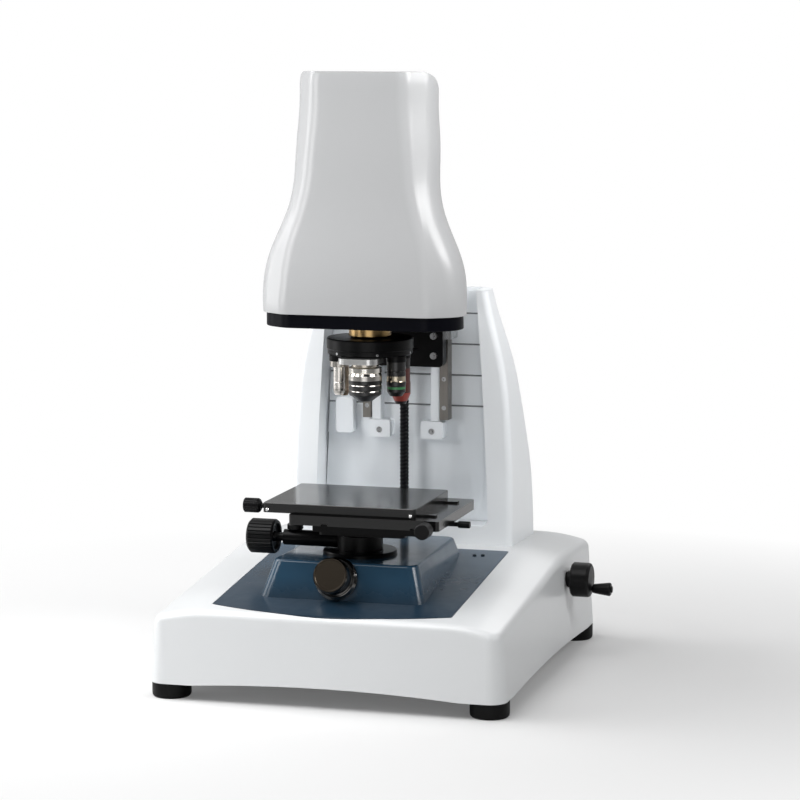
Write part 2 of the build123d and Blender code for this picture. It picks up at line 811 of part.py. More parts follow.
tube_low, tube_high = splitter_z + 20, 596.0
tube_profile = [
    (12, tube_low),
    (17, tube_low),
    (17, tube_low + 8),
    (15, tube_low + 10),
    (15, 560),
    (17.5, 562),
    (17.5, 578),
    (14, 580),
    (14, tube_high),
    (11, tube_high),
    (11, 560),
    (12.4, 560),
    (12.4, 550),
    (12, 550),
]
tube_barrel = turned(tube_profile, upright(optic_x, fold_y))
save(tube_barrel, "tube_barrel")

with BuildPart() as tube_lens:
    with BuildSketch(Plane((optic_x, fold_y, 0), x_dir=(1, 0, 0), z_dir=(0, -1, 0))):
        with BuildLine():
            Line((0, 551.5), (0, 558.5))
            Line((0, 558.5), (2, 558.5))
            ThreePointArc((2, 558.5), (7.5, 557.9), (12.4, 556.5))
            Line((12.4, 556.5), (12.4, 553.5))
            ThreePointArc((12.4, 553.5), (7.5, 552.1), (2, 551.5))
            Line((2, 551.5), (0, 551.5))
        make_face()
    revolve(axis=Axis((optic_x, fold_y, 0), (0, 0, 1)))
save(tube_lens, "tube_lens")

with BuildPart() as camera:
    slab(optic_x - 22, optic_x + 22, fold_y - 20, fold_y + 16, tube_high, 652)
    fillet(camera.edges().filter_by(Axis.Z), 2)
    for level in range(5):
        z = 612 + 8 * level
        for x_low in (optic_x - 23, optic_x + 20):
            slab(x_low, x_low + 3, fold_y - 16, fold_y + 12, z, z + 3, mode=Mode.SUBTRACT)
save(camera, "camera")

# Turret: black drum with six ports, on a brass bearing ring
port_angles = [radians(port_angle + 360 / port_count * k) for k in range(port_count)]
ports = [(port_radius * sin(a), turret_y - port_radius * cos(a)) for a in port_angles]
boss_r, thread_r = 12.5, 10.0

ring_profile = [(14.2, 436), (24, 436), (27, 438), (27, 448), (30, 448), (30, band_bottom), (14.2, band_bottom)]
turret_ring = turned(ring_profile, upright(0, turret_y))
save(turret_ring, "turret_ring")

drum_profile = [
    (0, drum_low),
    (turret_r - 2.5, drum_low),
    (turret_r - 1, drum_low + 1.5),
    (turret_r - 1, 421),
    (turret_r, 422),
    (turret_r, 434),
    (turret_r - 1.5, turret_high),
    (14, turret_high),
    (14, 449),
    (0, 449),
]
with BuildPart() as turret_body:
    add(turned(drum_profile, upright(0, turret_y)).part)
    for x, y in ports[1:]:
        with BuildSketch(upright(x, y, port_low)):
            Circle(boss_r)
        extrude(amount=drum_low - port_low)
    for x, y in ports:
        with BuildSketch(upright(x, y, port_low - 1)):
            Circle(thread_r + 0.1)
        extrude(amount=9.1 + drum_low - port_low, mode=Mode.SUBTRACT)
save(turret_body, "turret_body")

with BuildPart() as adapter_plate:
    with BuildSketch(upright(optic_x - 5, optic_y - 2.3, port_low)):
        RectangleRounded(51, 46, 12)
    extrude(amount=drum_low - port_low)
    with BuildSketch(upright(*ports[0], port_low - 1)):
        Circle(thread_r + 0.1)
    extrude(amount=10, mode=Mode.SUBTRACT)
    for x, y in (ports[1], ports[5]):
        with BuildSketch(upright(x, y, port_low - 1)):
            Circle(boss_r + 0.4)
        extrude(amount=10, mode=Mode.SUBTRACT)
save(adapter_plate, "adapter_plate")


def objective(port, profile, nose_r, tip):
    """An objective under a port: threaded top, turned barrel, recessed front lens."""
    x, y = port
    thread = [(0, port_low + 8), (thread_r - 1, port_low + 8), (thread_r, port_low + 7), (thread_r, port_low)]
    piece = turned(thread + profile + [(0, tip)], upright(x, y)).part
    with BuildPart() as barrel:
        add(piece)
        with BuildSketch(upright(x, y, tip)):
            Circle(nose_r)
        extrude(amount=1.2, mode=Mode.SUBTRACT)
    return barrel


objective_large = objective(
    ports[0],
    [
        (17, port_low),
        (17, 403),
        (20.6, 401.5),
        (20.6, 396),
        (19.6, 395),
        (21, 392),
        (21, 381.4),
        (20, 380.6),
        (20.8, 379),
        (20.8, 374),
        (19.6, 373),
        (20.2, 371.6),
        (20.2, 367.4),
        (9, 359.4),
    ],
    7.5,
    359.4,
)
save(objective_large, "objective_large")

objective_green = objective(
    ports[1],
    [
        (12, port_low),
        (12, 396),
        (11.2, 395.4),
        (12, 394),
        (12, 383),
        (12.3, 382),
        (12.3, 377),
        (11.8, 376),
        (11.8, 369),
        (8, 363.6),
    ],
    5.5,
    363.6,
)
save(objective_green, "objective_green")

objective_red = objective(
    ports[2],
    [
        (12, port_low),
        (12, 397),
        (11.2, 396.4),
        (12, 395),
        (12, 377),
        (12.5, 376),
        (12.5, 361),
        (9.5, 354),
        (6.5, 348),
    ],
    4.5,
    348,
)
save(objective_red, "objective_red")

objective_silver = objective(
    ports[5],
    [
        (11.5, port_low),
        (11.5, 400),
        (7.3, 399),
        (7.3, 381),
        (6.9, 380.4),
        (7.3, 379.6),
        (7.3, 369),
        (5.6, 364),
    ],
    3.8,
    364,
)
save(objective_silver, "objective_silver")

objective_bronze = objective(
    ports[4],
    [
        (10.8, port_low),
        (10.8, 402),
        (6.2, 401),
        (6.2, 383),
        (5.7, 382),
        (6.2, 381),
        (6.2, 361.5),
        (4.6, 357.7),
    ],
    3.2,
    357.7,
)
save(objective_bronze, "objective_bronze")

# Stage: post, gimbal, Y plate and top plate
flange_top = 171.0
post_profile = [
    (0, plinth_top),
    (47, plinth_top),
    (47, 169.7),
    (45.8, flange_top),
    (post_r, flange_top),
    (post_r, 196),
    (0, 196),
]
stage_post = turned(post_profile, upright(post_x, post_y))
save(stage_post, "stage_post")

with BuildPart() as stage_base_plate:
    slab(-40, 72, -150, -50, 196, 203.5)
    fillet(stage_base_plate.edges().filter_by(Axis.Z), 8)
    slab(post_x - 20, post_x + 20, post_y - 20, post_y + 20, 199, 205, mode=Mode.SUBTRACT)
    for side in (-1, 1):
        slab(-4, 4, *sorted((post_y + side * 9.5, post_y + side * 14.5)), 199, 209)
    with BuildSketch(along_y(post_x, gimbal_z).offset(post_y - 16)):
        Circle(2.55)
    extrude(amount=32, mode=Mode.SUBTRACT)
save(stage_base_plate, "stage_base_plate")

with BuildPart() as gimbal_cross:
    slab(-8.8, 8.8, post_y - 8.8, post_y + 8.8, 201.4, 209)
    with BuildSketch(along_y(post_x, gimbal_z).offset(post_y - 14)):
        Circle(2.5)
    extrude(amount=28)
    with BuildSketch(along_x(post_y, gimbal_z).offset(-14)):
        Circle(2.5)
    extrude(amount=28)
save(gimbal_cross, "gimbal_cross")

tip_y, tip_z = -112.0, 210.8
y_rails = (-16.0, 98.0)
x_rails = (-165.0, -60.0)
rail_half = 4.0
with BuildPart() as tilt_plate:
    slab(-34, 104, -190, -40, tilt_low, y_plate_low)
    slab(post_x - 20, post_x + 20, post_y - 20, post_y + 20, tilt_low - 1, 212, mode=Mode.SUBTRACT)
    for side in (-1, 1):
        slab(*sorted((side * 9.5, side * 14.5)), post_y - 4, post_y + 4, 201, 212)
    with BuildSketch(along_x(post_y, gimbal_z).offset(-16)):
        Circle(2.55)
    extrude(amount=32, mode=Mode.SUBTRACT)
    for x in y_rails:
        slab(x - rail_half, x + rail_half, -176, -54, y_plate_low, y_plate_low + 2.4)
    with BuildSketch(along_x(tip_y, tip_z).offset(88)):
        Circle(2.85)
    extrude(amount=20, mode=Mode.SUBTRACT)
save(tilt_plate, "tilt_plate")

with BuildPart() as stage_y_plate:
    slab(-62, 130, -200, -25, y_plate_low, y_plate_high)
    fillet(stage_y_plate.edges().filter_by(Axis.Z), 4)
    for x in y_rails:
        slab(x - rail_half - 0.05, x + rail_half + 0.05, -201, -24, 215, y_plate_low + 2.5, mode=Mode.SUBTRACT)
    for y in x_rails:
        slab(-50, 118, y - rail_half, y + rail_half, y_plate_high, y_plate_high + 2.4)
    with BuildSketch(along_y(117, 220).offset(-201)):
        Circle(3.05)
    extrude(amount=16, mode=Mode.SUBTRACT)
save(stage_y_plate, "stage_y_plate")

top_low = y_plate_high
x_knob_y, x_knob_z = -181.0, 235.0
with BuildPart() as stage_top_plate:
    slab(-stage_half_x, stage_half_x, stage_y_front, stage_y_rear, top_low, stage_top)
    fillet(stage_top_plate.edges().filter_by(Axis.Z), 4)
    chamfer(stage_top_plate.faces().sort_by(Axis.Z)[-1].edges(), 0.8)
    for y in x_rails:
        slab(-99, 99, y - rail_half - 0.05, y + rail_half + 0.05, 228, y_plate_high + 2.5, mode=Mode.SUBTRACT)
    with BuildSketch(along_x(x_knob_y, x_knob_z).offset(-99)):
        Circle(3.05)
    extrude(amount=14, mode=Mode.SUBTRACT)
    for x in (-92, 92):
        with Locations(Plane.XZ.offset(-stage_y_front)):
            with Locations((x, 232)):
                Hole(2.2, depth=6)
save(stage_top_plate, "stage_top_plate")

with BuildPart() as stage_pins:
    for x in (-92, 92):
        pin = [(0, -6), (2.2, -6), (2.2, 1.5), (1.6, 2.2), (0, 2.2)]
        add(turned(pin, facing_front(x, stage_y_front, 232)).part)
save(stage_pins, "stage_pins")


def knurled(profile, plane, count, groove, low, high):
    """A turned knob with straight grooves round its rim between two heights."""
    rim = max(r for r, h in profile)
    knob = turned(profile, plane).part
    with BuildPart() as piece:
        add(knob)
        with BuildSketch(plane.offset(low)) as cuts:
            with PolarLocations(rim + 0.35 * groove, count):
                RegularPolygon(groove, 4)
        extrude(cuts.sketch, amount=high - low, mode=Mode.SUBTRACT)
    return piece


x_knob = knurled(
    [(0, -125), (8, -125), (9.1, -124), (9.1, -107), (8, -105), (5, -103), (3, -103), (3, -86), (0, -86)],
    along_x(x_knob_y, x_knob_z),
    20,
    0.9,
    -126,
    -106,
)
save(x_knob, "x_knob")

y_knob = knurled(
    [(0, -231), (8.6, -231), (9.6, -230), (9.6, -212), (6, -210), (6, -204), (3, -203), (3, -186), (0, -186)],
    along_y(117, 220),
    20,
    0.9,
    -232,
    -213,
)
save(y_knob, "y_knob")

tip_profile = [(0, 89), (2.8, 89), (2.8, 131), (4.4, 132.6), (4.4, 145.8), (3.6, 147), (0, 147)]
tip_knob = turned(tip_profile, along_x(tip_y, tip_z))
save(tip_knob, "tip_knob")

# Tilt drive at the left of the post
tilt_axis_z, lock_x = 181.5, -86.0
with BuildPart() as tilt_housing:
    with BuildSketch(upright(post_x, post_y, flange_top)):
        Circle(29)
    extrude(amount=190 - flange_top)
    with BuildSketch(along_x(post_y, tilt_axis_z).offset(-100)):
        Circle(10)
    extrude(amount=80)
    with BuildSketch(upright(post_x, post_y, flange_top - 1)):
        Circle(post_r + 0.05)
    extrude(amount=22, mode=Mode.SUBTRACT)
    with BuildSketch(along_x(post_y, tilt_axis_z).offset(-101)):
        Circle(4.05)
    extrude(amount=76, mode=Mode.SUBTRACT)
    with BuildSketch(upright(lock_x, post_y, tilt_axis_z)):
        Circle(2.55)
    extrude(amount=10, mode=Mode.SUBTRACT)
save(tilt_housing, "tilt_housing")

tilt_knob = knurled(
    [
        (0, -146),
        (19, -146),
        (22, -143),
        (22, -113),
        (20.5, -110.5),
        (17, -110.5),
        (16, -114),
        (7, -114),
        (5.6, -110),
        (5.6, -100.4),
        (4, -100.4),
        (4, -30),
        (0, -30),
    ],
    along_x(post_y, tilt_axis_z),
    28,
    1.5,
    -144,
    -112,
)
save(tilt_knob, "tilt_knob")

lock_profile = [(0, 186), (2.5, 186), (2.5, 192), (9.4, 192), (10.2, 193), (10.2, 198.2), (9.2, 199.4), (0, 199.4)]
tilt_lock_screw = turned(lock_profile, upright(lock_x, post_y))
save(tilt_lock_screw, "tilt_lock_screw")

# Front knob on the plinth's slope
front_knob = turned(
    [(0, -14), (5, -14), (5, 9), (20, 9), (22.3, 11), (22.3, 31), (20.8, 33), (19.4, 33), (18.6, 32.2), (0, 32.2)],
    knob_plane,
)
save(front_knob, "front_knob")

front_knob_ring = turned(
    [(5.05, 0.4), (25.5, 0.4), (27, 2), (27, 6), (24, 9), (5.05, 9)],
    knob_plane,
)
save(front_knob_ring, "front_knob_ring")

with BuildPart() as panel_screws:
    for x, y in panel_screw_places:
        seat = Plane((x, y, deck_z(y)), x_dir=(1, 0, 0), z_dir=(0, -deck_slope, 1))
        add(cap_screw(2.6, 1.2, 1.3, 8, seat))
save(panel_screws, "panel_screws")

with BuildPart() as rear_inlet:
    slab(126.2, 153.8, 244, 258, 58.2, 77.8)
    slab(129, 151, 250, 260, 61, 75, mode=Mode.SUBTRACT)
    for x, z in ((134, 66), (146, 66), (140, 71)):
        slab(x - 1, x + 1, 249, 256, z - 2, z + 2)
save(rear_inlet, "rear_inlet")
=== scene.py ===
from math import cos, pi, radians, sin

import bpy
import numpy as np
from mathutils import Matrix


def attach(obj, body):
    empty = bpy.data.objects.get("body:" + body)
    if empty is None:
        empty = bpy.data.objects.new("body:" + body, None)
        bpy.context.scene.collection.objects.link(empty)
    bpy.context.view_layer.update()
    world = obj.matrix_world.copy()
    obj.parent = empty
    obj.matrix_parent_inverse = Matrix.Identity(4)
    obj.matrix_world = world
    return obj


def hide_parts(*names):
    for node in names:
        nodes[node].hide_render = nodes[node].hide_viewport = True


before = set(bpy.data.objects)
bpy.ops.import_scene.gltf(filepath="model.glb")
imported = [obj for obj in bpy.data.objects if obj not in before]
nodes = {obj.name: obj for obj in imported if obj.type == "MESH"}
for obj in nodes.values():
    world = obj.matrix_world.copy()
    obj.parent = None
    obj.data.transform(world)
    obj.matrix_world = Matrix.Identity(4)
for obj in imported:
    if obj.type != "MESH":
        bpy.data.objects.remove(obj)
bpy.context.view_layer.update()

mm = 0.001

# What the whole picture hangs on: the camera's place and the plain white room
studio = {
    "eye": (1.0621, -3.6361, 0.850),
    "tilt": 82.45,
    "turn": 15.93,
    "lens": 133.65,
    "roomColour": (0.88, 0.94, 1.0, 1),
    "roomLevel": 0.02,
    "mirrorShare": 0.42,
    "wallFrom": -0.25,
    "wallTo": 0.55,
    "lampLevel": 1.12,
}


# A socket that can be written in sums: each operator adds one Math node
class Value:
    def __init__(self, sheet, socket):
        self.sheet, self.socket = sheet, socket

    def maths(self, operation, *terms):
        return self.sheet.node("ShaderNodeMath", {"operation": operation}, dict(enumerate(terms)))

    def __add__(self, other):
        return self.maths("ADD", self, other)

    def __sub__(self, other):
        return self.maths("SUBTRACT", self, other)

    def __rsub__(self, other):
        return self.maths("SUBTRACT", other, self)

    def __mul__(self, other):
        return self.maths("MULTIPLY", self, other)

    def __pow__(self, power):
        return self.maths("POWER", self, power)

    def __gt__(self, edge):
        return self.maths("GREATER_THAN", self, edge)

    def __lt__(self, edge):
        return self.maths("LESS_THAN", self, edge)

    def between(self, low, high):
        return (self > low) * (self < high)

    def fade(self, low, high):  # 0 at low, 1 at high, straight between
        return self.sheet.node(
            "ShaderNodeMapRange", {"clamp": True}, {0: self, 1: low, 2: high, 3: 0.0, 4: 1.0}
        )

    __radd__ = __add__
    __rmul__ = __mul__


# A node tree being filled: each node made in it comes back as a Value
class NodeSheet:
    def __init__(self, tree):
        self.tree = tree

    def node(self, kind, settings=None, inputs=None, out=0):
        made = self.tree.nodes.new(kind)
        for key, value in (settings or {}).items():
            setattr(made, key, value)
        for key, value in (inputs or {}).items():
            if isinstance(value, Value):
                self.tree.links.new(value.socket, made.inputs[key])
            else:
                made.inputs[key].default_value = value
        return Value(self, made.outputs[out])


# One material: its constants are set on the shader, its patterns are Values
class Finish(NodeSheet):
    def __init__(self, name, constants):
        self.material = bpy.data.materials.new(name)
        self.material.use_nodes = True
        super().__init__(self.material.node_tree)
        self.shader = self.tree.nodes["Principled BSDF"]
        for socket, value in constants.items():
            self.shader.inputs[socket].default_value = value

    def drive(self, socket, value):
        self.tree.links.new(value.socket, self.shader.inputs[socket])

    def place(self):  # the point's own x, y and z in metres
        where = self.node("ShaderNodeTexCoord", out=3)
        return [self.node("ShaderNodeSeparateXYZ", {}, {0: where}, out=i) for i in range(3)]

    def noise(self, scale, detail=2.0, stretch=(1, 1, 1)):
        where = self.node("ShaderNodeTexCoord", out=3)
        where = self.node("ShaderNodeMapping", {}, {"Vector": where, "Scale": stretch})
        return self.node(
            "ShaderNodeTexNoise", {}, {"Vector": where, "Scale": scale, "Detail": detail, "Roughness": 0.55}
        )

    def grain(self, along, scale):  # streaks that change with one Value only
        return self.node(
            "ShaderNodeTexNoise", {"noise_dimensions": "1D"}, {"W": along, "Scale": scale, "Detail": 3.0}
        )

    def mix(self, factor, first, second):
        return self.node(
            "ShaderNodeMix", {"data_type": "RGBA"}, {0: factor, 6: first, 7: second}, out=2
        )

    def bump(self, height, depth, strength):
        inputs = {"Strength": strength, "Distance": depth, "Height": height}
        self.drive("Normal", self.node("ShaderNodeBump", {}, inputs))


def tone(colour, factor=1.0):
    return (colour[0] * factor, colour[1] * factor, colour[2] * factor, 1)


def radiusFrom(across, along):
    # distance from an axis: the root of the summed squares of two offsets
    return (across * across + along * along) ** 0.5


latheMarks = 5200.0  # how fine the streaks of a turned face are


# White sprayed shells: faint mottling, fine orange peel, a soft clear coat
# these are one white paint in five tones: the grey head and duller base are painted shade, the brighter
# upright, channel and plates painted light
whitePaint = {
    "base": {"colour": (0.705, 0.718, 0.727), "rough": 0.32, "coat": 0.25},
    "head": {"colour": (0.415, 0.419, 0.425), "rough": 0.36, "coat": 0.22},
    "upright": {"colour": (0.90, 0.925, 0.945), "rough": 0.34, "coat": 0.25},
    "channel": {"colour": (0.90, 0.935, 0.965), "rough": 0.40, "coat": 0.12},
    "plates": {
        "colour": (0.90, 0.935, 0.965),
        "rough": 0.42,
        "coat": 0.12,
        # the seam bands below are painted shade, darkening the joints between the plates
        "seams": (0.3264, 0.3672, 0.4084, 0.4495),
        "seamHalf": 0.0011,
        "seamPaintedShade": 0.30,
    },
}


def paintWhite(name, look, peel=420.0):
    # colour and coat drift with one slow noise and roughness with a quicker one; the peel is the bump
    finish = Finish(name, {"Coat Roughness": 0.14, "Specular IOR Level": 0.42})
    cloud = finish.noise(7.0, 3.0)
    colour = finish.mix(cloud, tone(look["colour"], 0.975), tone(look["colour"]))
    height = finish.place()[2]
    # each joint between the plates is darkened with painted shade from its groove
    for seam in look.get("seams", ()):  # the joints between the plates are darkened
        inSeam = height.between(seam - look["seamHalf"], seam + look["seamHalf"])
        colour = finish.mix(inSeam, colour, tone(look["colour"], look["seamPaintedShade"]))
    finish.drive("Base Color", colour)
    finish.drive("Roughness", look["rough"] + (finish.noise(38.0) - 0.5) * 0.10)
    finish.drive("Coat Weight", look["coat"] + (cloud - 0.5) * 0.1)
    finish.bump(finish.noise(peel, 1.0), 0.00006, 0.35)
    return finish.material


navyLook = {
    "colour": (0.021, 0.056, 0.096),
    # the darker ledge colour is painted dark reflection
    "edge": (0.0022, 0.0075, 0.0150),
    "ledgeHeight": 0.098,
    "blockHeight": 0.146,
    "rough": 0.20,
    "ledgeRough": 0.26,
    "blockCoat": 0.18,
}


def paintNavy():
    # colour, gloss and coat grow with the height, from the matt flat ledge to the glossy raised block
    finish = Finish("navyMoulding", {"Coat Roughness": 0.06, "Specular IOR Level": 0.36})
    height = finish.place()[2].fade(navyLook["ledgeHeight"], navyLook["blockHeight"])
    cloud = finish.noise(9.0, 3.0)
    # darker towards the low ledge: painted dark reflection
    body = finish.mix(height * (0.85 + cloud * 0.25), tone(navyLook["edge"]), tone(navyLook["colour"]))
    finish.drive("Base Color", body)
    matt = navyLook["rough"] + (1 - height) * navyLook["ledgeRough"]
    finish.drive("Roughness", matt + (finish.noise(60.0) - 0.5) * 0.14)
    finish.drive("Coat Weight", height * navyLook["blockCoat"])
    finish.bump(finish.noise(650.0, 1.0), 0.00005, 0.3)
    return finish.material


# Anodised, cast and cut metals
def blackAnodised(name, colour, rough, grain, shine):
    # one fine noise is both the colour's speck and the bump
    finish = Finish(name, {"Specular IOR Level": shine})
    speck = finish.noise(grain, 2.0)
    finish.drive("Base Color", finish.mix(speck, tone(colour, 0.75), tone(colour, 1.3)))
    finish.drive("Roughness", rough + (finish.noise(45.0) - 0.5) * 0.16)
    finish.bump(speck, 0.00003, 0.5)
    return finish.material


def castPaint(name, colour):
    # one coarse noise drives colour, roughness and bump together
    finish = Finish(name, {"Specular IOR Level": 0.4})
    lump = finish.noise(160.0, 5.0)
    finish.drive("Base Color", finish.mix(lump, tone(colour, 0.82), tone(colour, 1.12)))
    finish.drive("Roughness", 0.55 + lump * 0.2)
    finish.bump(lump, 0.0004, 0.6)
    return finish.material


def brushed(name, colour, rough, stretch):
    # long scratches: a noise pulled out along one axis
    finish = Finish(name, {"Metallic": 1.0})
    hair = finish.noise(240.0, 4.0, stretch)
    finish.drive("Base Color", finish.mix(hair, tone(colour, 0.88), tone(colour, 1.06)))
    finish.drive("Roughness", rough + (hair - 0.5) * 0.18)
    finish.bump(hair, 0.00002, 0.6)
    return finish.material


def turnedMetal(name, colour, rough, centre=(0, 0)):
    # lathe marks: streaks that follow the distance from the upright axis plus a share of the height
    finish = Finish(name, {"Metallic": 1.0})
    x, y, z = finish.place()
    radius = radiusFrom(x - centre[0], y - centre[1])
    mark = finish.grain(radius + z * 0.83, latheMarks)
    finish.drive("Base Color", finish.mix(mark, tone(colour, 0.86), tone(colour, 1.08)))
    finish.drive("Roughness", rough + (mark - 0.5) * 0.2)
    finish.bump(mark, 0.00003, 0.5)
    return finish.material


def moulded(name, colour, rough, spark, coat=0.0):
    # the colour and roughness drift slowly, and a fine noise is the moulded skin
    finish = Finish(name, {"Coat Weight": coat, "Coat Roughness": 0.2, "Specular IOR Level": 0.15})
    skin = finish.noise(spark, 2.0)
    finish.drive("Base Color", finish.mix(finish.noise(30.0), tone(colour, 0.8), tone(colour, 1.25)))
    finish.drive("Roughness", rough + (finish.noise(55.0) - 0.5) * 0.18)
    finish.bump(skin, 0.00008, 0.45)
    return finish.material


def banded(name, bands, fallback):
    # up the barrel each band's colour, metal and roughness take over between its two heights
    finish = Finish(name, {"Specular IOR Level": 0.6})
    height = finish.place()[2]
    speck = finish.grain(height, 6000.0)
    colour = finish.mix(speck, tone(fallback[0], 0.9), tone(fallback[0], 1.05))
    metallic, rough = fallback[1], fallback[2] + (speck - 0.5) * 0.12
    for low, high, bandColour, bandMetal, bandRough in bands:
        inside = height.between(low * mm, high * mm)
        colour = finish.mix(inside, colour, tone(bandColour))
        metallic = metallic + inside * (bandMetal - metallic)
        rough = rough + inside * (bandRough - rough)
    finish.drive("Base Color", colour)
    finish.drive("Metallic", metallic)
    finish.drive("Roughness", rough)
    finish.bump(speck, 0.00002, 0.4)
    return finish.material


def coatedGlass():
    # dark glass whose film drifts from blue to violet with one noise
    constants = {"Specular IOR Level": 0.9, "IOR": 1.6, "Coat Weight": 1.0, "Coat Roughness": 0.02}
    finish = Finish("coatedGlass", constants)
    film = finish.noise(60.0, 1.0)
    finish.drive("Base Color", finish.mix(film, (0.012, 0.03, 0.05, 1), (0.05, 0.02, 0.07, 1)))
    finish.drive("Roughness", 0.04 + film * 0.03)
    return finish.material


print("stage: finishes")
# the white tones made here are painted light and shade on one paint
baseWhitePaintedShade = paintWhite("baseWhitePaintedShade", whitePaint["base"])
headWhitePaintedShade = paintWhite("headWhitePaintedShade", whitePaint["head"])
uprightWhitePaintedLight = paintWhite("uprightWhitePaintedLight", whitePaint["upright"])
channelWhitePaintedLight = paintWhite("channelWhitePaintedLight", whitePaint["channel"], 600.0)
plateWhitePaintedLightSeamShade = paintWhite("plateWhitePaintedLightSeamShade", whitePaint["plates"], 600.0)
navy = paintNavy()
bandDark = blackAnodised("bandDark", (0.0016, 0.0018, 0.0036), 0.36, 500.0, 0.06)
castGrey = castPaint("castGrey", (0.20, 0.21, 0.22))
anodised = blackAnodised("anodisedBlack", (0.0022, 0.0022, 0.0025), 0.32, 900.0, 0.12)
steel = brushed("groundSteel", (0.55, 0.56, 0.57), 0.28, (1, 1, 0.02))
railSteel = brushed("railSteel", (0.27, 0.255, 0.235), 0.34, (1, 1, 0.015))
chrome = turnedMetal("brightChrome", (0.80, 0.80, 0.80), 0.12)
# the knob ring's chrome is darkened as painted dark reflection
chromePaintedDarkReflection = turnedMetal("chromePaintedDarkReflection", (0.22, 0.215, 0.21), 0.16)
# the brass colour is darkened as painted shade from the head above it
brassRingPaintedShade = turnedMetal("brassRingPaintedShade", (0.40, 0.27, 0.12), 0.27, (0, -0.053))
rubber = moulded("blackRubber", (0.0020, 0.0020, 0.0022), 0.50, 500.0)
plasticBlack = moulded("mouldedBlack", (0.0026, 0.0026, 0.0029), 0.40, 900.0, 0.04)
alloy = brushed("machinedAlloy", (0.62, 0.62, 0.61), 0.30, (0.03, 1, 1))
screwBlack = blackAnodised("screwBlack", (0.0030, 0.0032, 0.0040), 0.36, 1200.0, 0.12)
glass = coatedGlass()


def stageSurface():
    # black anodised top, lapped smooth: long faint lapping marks and a few softer areas
    finish = Finish("stageBlack", {"Specular IOR Level": 0.4, "Coat Weight": 0.14, "Coat Roughness": 0.05})
    lap = finish.noise(420.0, 3.0, (0.03, 1, 1))
    soft = finish.noise(14.0, 2.0)
    finish.drive("Base Color", finish.mix(lap, (0.0024, 0.0024, 0.0024, 1), (0.0065, 0.0065, 0.0065, 1)))
    finish.drive("Roughness", 0.13 + soft * 0.10 + (lap - 0.5) * 0.05)
    finish.bump(lap, 0.00001, 0.4)
    return finish.material


stageBlack = stageSurface()


# Front knob: where its axis meets the slope, how far it leans, and its three surfaces
knobLook = {
    "axisPoint": (-0.006, -0.1771, 0.146),
    "lean": 19.6,
    "faceRadius": 0.0207,
    "faceFrom": 0.0300,
    "dark": (0.034, 0.027, 0.020, 1),
    "light": (0.085, 0.068, 0.050, 1),
    "side": (0.10, 0.095, 0.09, 1),
}


def knobBronze():
    # a spun bronze face inside a chrome side, told apart by the distance from the knob's own axis
    axisPoint, lean = knobLook["axisPoint"], radians(knobLook["lean"])
    finish = Finish("knobBronze", {"Specular IOR Level": 0.6})
    x, y, z = finish.place()
    along = (y - axisPoint[1]) * -cos(lean) + (z - axisPoint[2]) * sin(lean)
    up = (y - axisPoint[1]) * sin(lean) + (z - axisPoint[2]) * cos(lean)
    radius = radiusFrom(x - axisPoint[0], up)
    face = (radius < knobLook["faceRadius"]) * (along > knobLook["faceFrom"])
    marks = finish.grain(radius, latheMarks)
    bronze = finish.mix(marks, knobLook["dark"], knobLook["light"])
    finish.drive("Base Color", finish.mix(face, knobLook["side"], bronze))
    finish.drive("Metallic", 1.0 - face * 0.15)
    finish.drive("Roughness", 0.15 + face * 0.17 + (marks - 0.5) * 0.08)
    finish.bump(marks, 0.00003, 0.4)
    return finish.material


# Objective barrels, in mm of height: low, high, colour, metallic, roughness
blackPaint = (0.005, 0.005, 0.005)
barrels = {
    "large": [
        (402.0, 408.0, (0.50, 0.46, 0.40), 1.0, 0.22),
        (391.5, 401.4, (0.86, 0.83, 0.77), 1.0, 0.12),
        (380.4, 386.0, blackPaint, 0.1, 0.25),
        (372.8, 379.4, (0.008, 0.008, 0.008), 0.1, 0.28),
        (359.0, 372.0, (0.010, 0.010, 0.010), 0.2, 0.32),
    ],
    "silver": [
        (399.0, 408.0, (0.40, 0.38, 0.35), 1.0, 0.24),
        (366.0, 372.0, (0.45, 0.43, 0.40), 1.0, 0.24),
    ],
    "bronze": [
        (401.0, 408.0, (0.26, 0.21, 0.16), 1.0, 0.25),
        (359.0, 364.0, (0.20, 0.16, 0.12), 1.0, 0.28),
    ],
    "green": [
        (372.6, 375.6, (0.035, 0.17, 0.06), 0.2, 0.34),
        (382.0, 389.0, (0.50, 0.44, 0.34), 1.0, 0.22),
    ],
    "red": [
        (352.0, 363.0, (0.26, 0.045, 0.035), 0.3, 0.34),
        (364.0, 394.0, (0.075, 0.020, 0.016), 0.3, 0.35),
    ],
}
objectiveFinishes = {
    "objective_large": banded("barrelChrome", barrels["large"], ((0.52, 0.50, 0.47), 1.0, 0.20)),
    "objective_silver": banded("barrelSilver", barrels["silver"], ((0.70, 0.67, 0.63), 1.0, 0.26)),
    "objective_bronze": banded("barrelBronze", barrels["bronze"], ((0.46, 0.38, 0.29), 1.0, 0.27)),
    "objective_green": banded("barrelGreenRing", barrels["green"], ((0.006, 0.006, 0.006), 0.1, 0.28)),
    "objective_red": banded("barrelRedRing", barrels["red"], ((0.008, 0.006, 0.006), 0.1, 0.32)),
}

